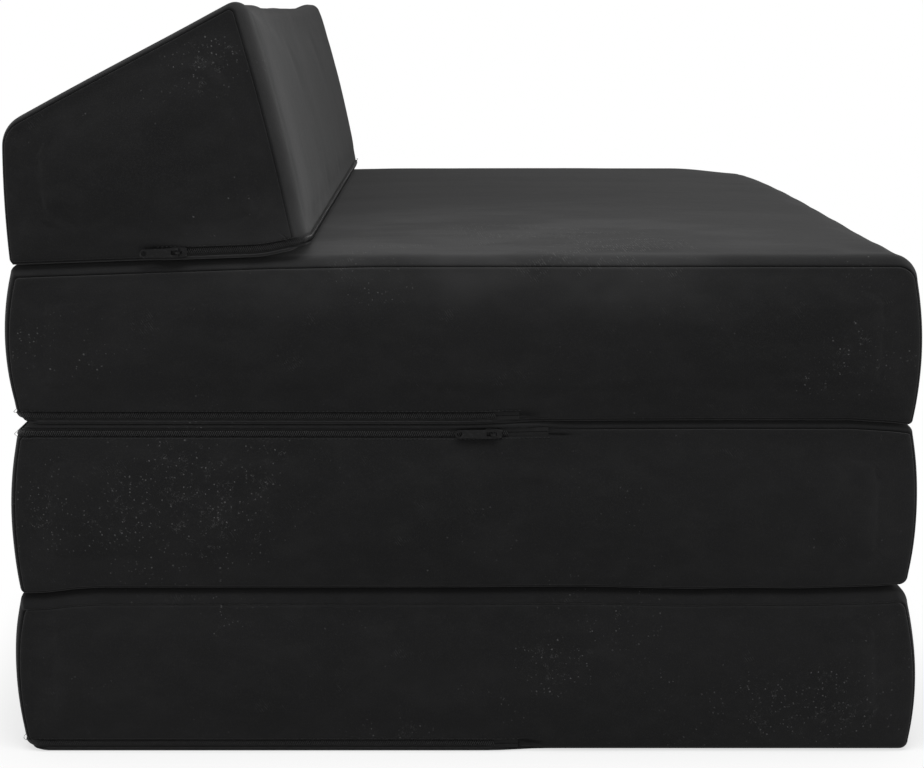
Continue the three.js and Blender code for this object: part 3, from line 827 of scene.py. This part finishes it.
backrest_section = Section(
    [(*from_hinge(BACK, UNDERSIDE), 0.005, 0), (*from_hinge(FRONT, UNDERSIDE), 0.012, 0.0026),
     (*from_hinge(*PEAK), 0.01, 0.0008), (*from_hinge(BACK, 0.09965), 0.024, 0.001)],
    (26, 18), [CORNER_SHARES, FRONT_ZIP_SHARES, CORNER_SHARES, CORNER_SHARES], 0.0577,
)
backrest_zip = Zip(ZIP_START, FRONT, 1, 1, UNDERSIDE + ZIP_RISE, 0.0026, 0, on_backrest, 0.0028)
backrest_rolls = [TIGHT_ROLL, (0.0224, 0.026, 0.86), (0.0096, 0.0115, 0.83), TIGHT_ROLL]
backrest_slots = backrest_section.slot_shares(0, from_hinge(ZIP_START, 0)[0], -0.08, 1, False)


def backrest_settles(points):
    """The peak sinks but for its two ends, and the near corner of the front edge is lifted."""
    x, y, z = points.T
    moved = points.copy()
    peak = from_hinge(*PEAK)
    near_peak = np.exp(-((x - peak[0]) ** 2 + (z - peak[1]) ** 2) / 0.04 ** 2)
    ears = (0.0024 * smooth(-y, 0.2, 0.27) + 0.001 * smooth(-y, 0.35, 0.385)
            + 0.0038 * smooth(y, 0.17, 0.36))
    moved[:, 2] += near_peak * (ears - 0.002)
    front = from_hinge(FRONT, 0)
    near_front = 1 - smooth(np.hypot(x - front[0], z - front[1]), 0.004, 0.04)
    moved[:, 2] += 0.0042 * near_front * smooth(-y, 0.33, 0.39)
    return moved


filled_cover("backrest", backrest_section, backrest_rolls, backrest_slots, (0,),
             backrest_settles, backrest_zip, 53, [])


# Zips
# Each zip is two woven tapes with a coil of nylon teeth between them, sewn into its slot by a
# row of stitches. The coil and the stitches repeat along the zip's path.

def woven_tape():
    made, place = new_material("woven_tape")
    sockets = {"Vector": place, "Scale": RIB_SCALE, "Distortion": 0.3}
    ribs = place.node("ShaderNodeTexWave", sockets, bands_direction="X")
    worn = place.noise(160, 3, 0.6)
    colour = place.mix(worn.band(0.4, 0.7), grey(0.005, 0.0052), grey(0.009))
    colour = place.mix(ribs * 0.3, colour, grey(0.014))
    place.surface({
        "Base Color": colour, "Roughness": 0.8, "Specular IOR Level": 0.2,
        "Sheen Weight": 0.03, "Normal": place.bump(ribs, 0.0002, 0.6),
    })
    return made


def nylon():
    made, place = new_material("nylon_coil")
    scuffs = place.noise(500, 2, 0.6)
    colour = place.mix(scuffs.band(0.4, 0.75), grey(0.01, 0.0103), grey(0.023, 0.0235))
    place.surface({"Base Color": colour, "Roughness": 0.4, "Specular IOR Level": 0.3})
    return made


def thread():
    made, place = new_material("polyester_thread")
    twist = place.noise(1800, 2, 0.5)
    colour = place.mix(twist, grey(0.009, 0.0092), grey(0.018, 0.0183))
    place.surface({"Base Color": colour, "Roughness": 0.6, "Specular IOR Level": 0.2})
    return made


TAPE, NYLON, THREAD = woven_tape(), nylon(), thread()


def row_tree(name, material):
    """A tree that sets small rounded pieces in a row along a path of points, each turned to the
    path and slanted across it"""
    tree = bpy.data.node_groups.new(name, "GeometryNodeTree")
    face = tree.interface
    face.new_socket("Geometry", in_out="INPUT", socket_type="NodeSocketGeometry")
    for title in ("Pitch", "Length", "Width", "Thickness", "Slant"):
        face.new_socket(title, in_out="INPUT", socket_type="NodeSocketFloat")
    face.new_socket("Geometry", in_out="OUTPUT", socket_type="NodeSocketGeometry")
    source = tree.nodes.new("NodeGroupInput")
    given = {socket.name: Value(tree, socket) for socket in source.outputs if socket.name}
    path = given["Geometry"].node("GeometryNodeMeshToCurve", {"Mesh": given["Geometry"]})
    path = path.node("GeometryNodeResampleCurve", {"Curve": path, "Length": given["Pitch"]},
                     mode="LENGTH")
    tangent = path.node("GeometryNodeInputTangent")
    away = path.node("GeometryNodeInputNamedAttribute", {"Name": "away"},
                     data_type="FLOAT_VECTOR")
    align = "FunctionNodeAlignRotationToVector"
    turn = path.node(align, {"Vector": tangent}, axis="X")
    turn = path.node(align, {"Rotation": turn, "Vector": away}, axis="Z", pivot_axis="X")
    slant = path.node("FunctionNodeAxisAngleToRotation",
                      {"Axis": (0, 0, 1), "Angle": given["Slant"]})
    turn = path.node("FunctionNodeRotateRotation", {"Rotation": turn, "Rotate By": slant},
                     rotation_space="LOCAL")
    ball = path.node("GeometryNodeMeshUVSphere", {"Segments": 6, "Rings": 5, "Radius": 0.5})
    size = {"X": given["Width"], "Y": given["Length"], "Z": given["Thickness"]}
    size = path.node("ShaderNodeCombineXYZ", size)
    ball = path.node("GeometryNodeTransform", {"Geometry": ball, "Scale": size})
    ball = path.node("GeometryNodeSetShadeSmooth", {"Geometry": ball})
    row = path.node("GeometryNodeInstanceOnPoints",
                    {"Points": path, "Instance": ball, "Rotation": turn})
    row = row.node("GeometryNodeRealizeInstances", {"Geometry": row})
    row = row.node("GeometryNodeSetMaterial", {"Geometry": row, "Material": material})
    row.node("NodeGroupOutput", {"Geometry": row})
    return tree


def row_along(name, tree, points, away, sizes, body):
    """A row of small pieces along a path, as a plain mesh that rides on a body"""
    path = bpy.data.meshes.new(name)
    path.from_pydata(points.tolist(), [(i, i + 1) for i in range(len(points) - 1)], [])
    path.attributes.new("away", "FLOAT_VECTOR", "POINT").data.foreach_set("vector", away.ravel())
    made = placed(name, path)
    row = made.modifiers.new("row", "NODES")
    row.node_group = tree
    for item in tree.interface.items_tree:
        if item.in_out == "INPUT" and item.name in sizes:
            row[item.identifier] = float(sizes[item.name])
    settle_modifiers(made)
    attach(made, body)


COIL_ROW, STITCH_ROW = row_tree("coil_of_teeth", NYLON), row_tree("row_of_stitches", THREAD)


TAPE_THICKNESS = 0.0007
TAPE_EDGES = (0.0002, 0.0031)  # how far from the zip's middle a tape starts and ends
COIL = {"Pitch": 0.0014, "Length": 0.0056, "Width": 0.0008, "Thickness": 0.0013, "Slant": 0.42}
STITCHES = {"Pitch": 0.003, "Length": 0.0005, "Width": 0.0021, "Thickness": 0.0006, "Slant": 0}


def ribbon(name, path, low, high, settles, body, node):
    """One woven tape: a closed ribbon along the zip"""
    corners = ((low, -TAPE_THICKNESS), (high, -TAPE_THICKNESS), (high, 0), (low, 0))
    rows = np.stack([path.at(up, away) for up, away in corners], 1)
    rows = settles(rows.reshape(-1, 3))
    made = closed_tube(name, rows.tolist(), len(corners), TAPE)
    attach(made, body)
    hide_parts(node)


# The last value is the length of plain tape at each end, before the first tooth.
for body, path, settles, stop in (
    ("base", base_zip, base_settles, 0.012), ("middle", middle_zip, middle_settles, 0.028),
    ("seat", seat_zip, seat_settles, 0.012), ("backrest", backrest_zip, backrest_settles, 0.006),
):
    start, end = TAPE_EDGES
    tape = f"{body}_zip_tape"
    ribbon(f"{tape}_panel_side", path, start, end, settles, body, f"{tape}_outer")
    ribbon(f"{tape}_band_side", path, -end, -start, settles, body, f"{tape}_inner")
    from_end = np.abs(path.points[:, :1] - path.points[[0, -1], 0]).min(1)
    toothed = (from_end > stop) | (np.abs(path.points[:, 1]) < 0.38)
    row_along(f"{body}_zip_coil", COIL_ROW, settles(path.at(0.0005, 0.0005))[toothed],
              path.away[toothed], COIL, body)
    row_along(f"{body}_zip_stitches", STITCH_ROW, settles(path.at(0.0041, 0.0018)),
              path.away, STITCHES, body)


# Sliders and pulls
# Die-cast metal under black paint. Each slider holds its tapes together, and its pull hangs on
# the bridge and lies along the zip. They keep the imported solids' shape, with softened edges.

def black_metal():
    made, place = new_material("black_painted_metal")
    rubbed = place.noise(420, 3, 0.65)
    colour = place.mix(rubbed.band(0.5, 0.75), grey(0.0045, 0.0047), grey(0.02, 0.0205))
    place.surface({
        "Base Color": colour, "Metallic": rubbed.band(0.6, 0.85) * 0.3,
        "Roughness": 0.3 + rubbed * 0.25, "Specular IOR Level": 0.14,
        "Normal": place.bump(rubbed, 0.0001, 0.4),
    })
    return made


BLACK_METAL = black_metal()
for body in ("base", "middle", "seat", "backrest"):
    for part in ("slider", "pull"):
        node = f"{body}_zip_{part}"
        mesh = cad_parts[node].data.copy()
        form = bmesh.new()
        form.from_mesh(mesh)
        bmesh.ops.remove_doubles(form, verts=form.verts, dist=1e-5)
        bmesh.ops.dissolve_limit(form, angle_limit=math.radians(3), verts=form.verts,
                                 edges=form.edges)
        form.to_mesh(mesh)
        form.free()
        mesh.materials.clear()
        mesh.materials.append(BLACK_METAL)
        mesh.shade_smooth()
        made = placed(f"{node}_cast", mesh)
        rim = made.modifiers.new("rim", "BEVEL")
        rim.width = 0.00028
        rim.segments = 2
        rim.limit_method = "ANGLE"
        rim.angle_limit = math.radians(35)
        rim.harden_normals = True
        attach(made, f"{body}_{part}")
        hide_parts(node)


# Hinge strips
# A folded strip of the cover's fabric is sewn into both covers along each hinge. Its fold lies
# on the hinge line, so that the blocks open flat.

STRIP_LENGTH = 0.75
STRIP_BENDS = (0.00112, 0.00012)  # the radii of the fold, outside and inside
LAYER_SHARES = (0.33, 0.66, 1)


def hinge_strip(name, fold, root, turn, taper):
    """A folded strip between two bodies. Fold is its fold's place in x and z, root how far from
    it the two layers end, and turn the angle of the way from there to the fold. Towards its ends
    the fold draws in by the taper."""
    way = np.array([math.cos(turn), math.sin(turn)])
    side = np.array([-way[1], way[0]])
    fold = np.array(fold)
    outer, inner = STRIP_BENDS
    arc = np.linspace(-math.pi / 2, math.pi / 2, 9)

    def layer(shares, offset):
        return [fold - way * root * share + side * offset for share in shares]

    def bend(radius, angles):
        return [fold + radius * (way * math.cos(a) + side * math.sin(a)) for a in angles]

    profile = layer(LAYER_SHARES[::-1], -outer) + bend(outer, arc) + layer(LAYER_SHARES, outer)
    profile += layer(LAYER_SHARES[::-1], inner) + bend(inner, arc[::-2])
    profile += layer(LAYER_SHARES, -inner)
    end = STRIP_LENGTH / 2
    points = []
    for y in np.linspace(-end, end, 90):
        drift = 0.0002 * math.sin(y * 61) + 0.0001 * math.sin(y * 143 + 1)
        shy = taper * smooth(abs(y), end - 0.03, end) ** 2
        for p in profile:
            ahead = max((p - fold) @ way + root, 0) / (root + outer)
            p = p - way * shy * ahead
            points.append((p[0], y, p[1] + drift))
    made = closed_tube(f"{name}_strip", points, len(profile), MICROFIBRE)
    made.data.shade_smooth()
    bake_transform(made)
    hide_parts(f"{name}_leaf_lower", f"{name}_leaf_upper")


hinge_strip("rear_hinge", (-FURTHEST, LOW_JOIN), 0.0067, math.pi, 0.0055)
hinge_strip("front_hinge", (FURTHEST, HIGH_JOIN), 0.0067, 0, 0.0055)
hinge_strip("backrest_hinge", HINGE, 0.0043, math.pi + TILT, 0.0015)


# Studio
# A white floor that keeps the bed's shadow close to it, a soft lamp overhead, a weaker one out in
# front, and a camera at the height of a seated eye.

def shown_rays(start):
    """1 for rays that come from the camera, or to it by way of a gloss or a clear surface"""
    kinds = [start.node("ShaderNodeLightPath", output=kind)
             for kind in ("Is Camera Ray", "Is Glossy Ray", "Is Transmission Ray")]
    return start.math("MAXIMUM", start.math("MAXIMUM", kinds[0], kinds[1]), kinds[2])


def pale_floor():
    made, place = new_material("pale_floor")
    away = place.node("ShaderNodeSeparateXYZ", {"Vector": place}, "X")
    aside = place.node("ShaderNodeSeparateXYZ", {"Vector": place}, "Y")
    away = place.math("MAXIMUM", place.math("ABSOLUTE", away) - HALF_LENGTH, 0)
    aside = place.math("MAXIMUM", place.math("ABSOLUTE", aside) - HALF_WIDTH, 0)
    distance = place.math("SQRT", away * away + aside * aside)
    shown = shown_rays(place)
    matt = place.node("ShaderNodeBsdfDiffuse",
                      {"Color": place.mix(shown, grey(0.62), grey(0.96))})
    white = place.node("ShaderNodeEmission", {"Color": (1, 1, 1, 1), "Strength": 1})
    share = (0.66 + distance.band(0, 0.1) * 0.34) * shown
    mixed = place.node("ShaderNodeMixShader", {0: share, 1: matt, 2: white})
    place.node("ShaderNodeOutputMaterial", {"Surface": mixed})
    return made


FLOOR_RADIUS, FLOOR_SIDES = 12, 64
rim = [(FLOOR_RADIUS * math.cos(a), FLOOR_RADIUS * math.sin(a), 0)
       for a in np.linspace(0, 2 * math.pi, FLOOR_SIDES + 1)[:-1]]
floor_mesh = bpy.data.meshes.new("floor")
floor_mesh.from_pydata(rim, [], [tuple(range(FLOOR_SIDES))])
floor_mesh.materials.append(pale_floor())
placed("floor", floor_mesh)

world = bpy.data.worlds.new("studio")
world.use_nodes = True
world.node_tree.nodes.clear()
sky = Value(world.node_tree)
strength = 0.55 + shown_rays(sky) * 0.45
light = sky.node("ShaderNodeBackground", {"Color": (1, 1, 1, 1), "Strength": strength})
sky.node("ShaderNodeOutputWorld", {"Surface": light})
bpy.context.scene.world = world

for name, place, turn, size, energy in (
    ("overhead", (-0.1, -1.1, 1.9), (math.radians(-28), 0, 0), 1.5, 31),
    ("from_the_front", (2.6, -0.2, 0.5), (0, math.radians(88), 0), 1.3, 14.5),
):
    lamp = bpy.data.lights.new(name, "AREA")
    lamp.shape = "DISK"
    lamp.size = size
    lamp.energy = energy
    made = placed(name, lamp)
    made.location = place
    made.rotation_euler = turn

view = bpy.data.cameras.new("camera")
view.sensor_width = 36
view.lens = 75.275
view.shift_x = 0.016
view.shift_y = -0.12
camera = placed("camera", view)
camera.location = (-0.012, -1.758, 0.5405)
camera.rotation_euler = (math.radians(90 - 7.716), 0, 0)
bpy.context.scene.camera = camera
bpy.context.scene.view_settings.view_transform = "Standard"
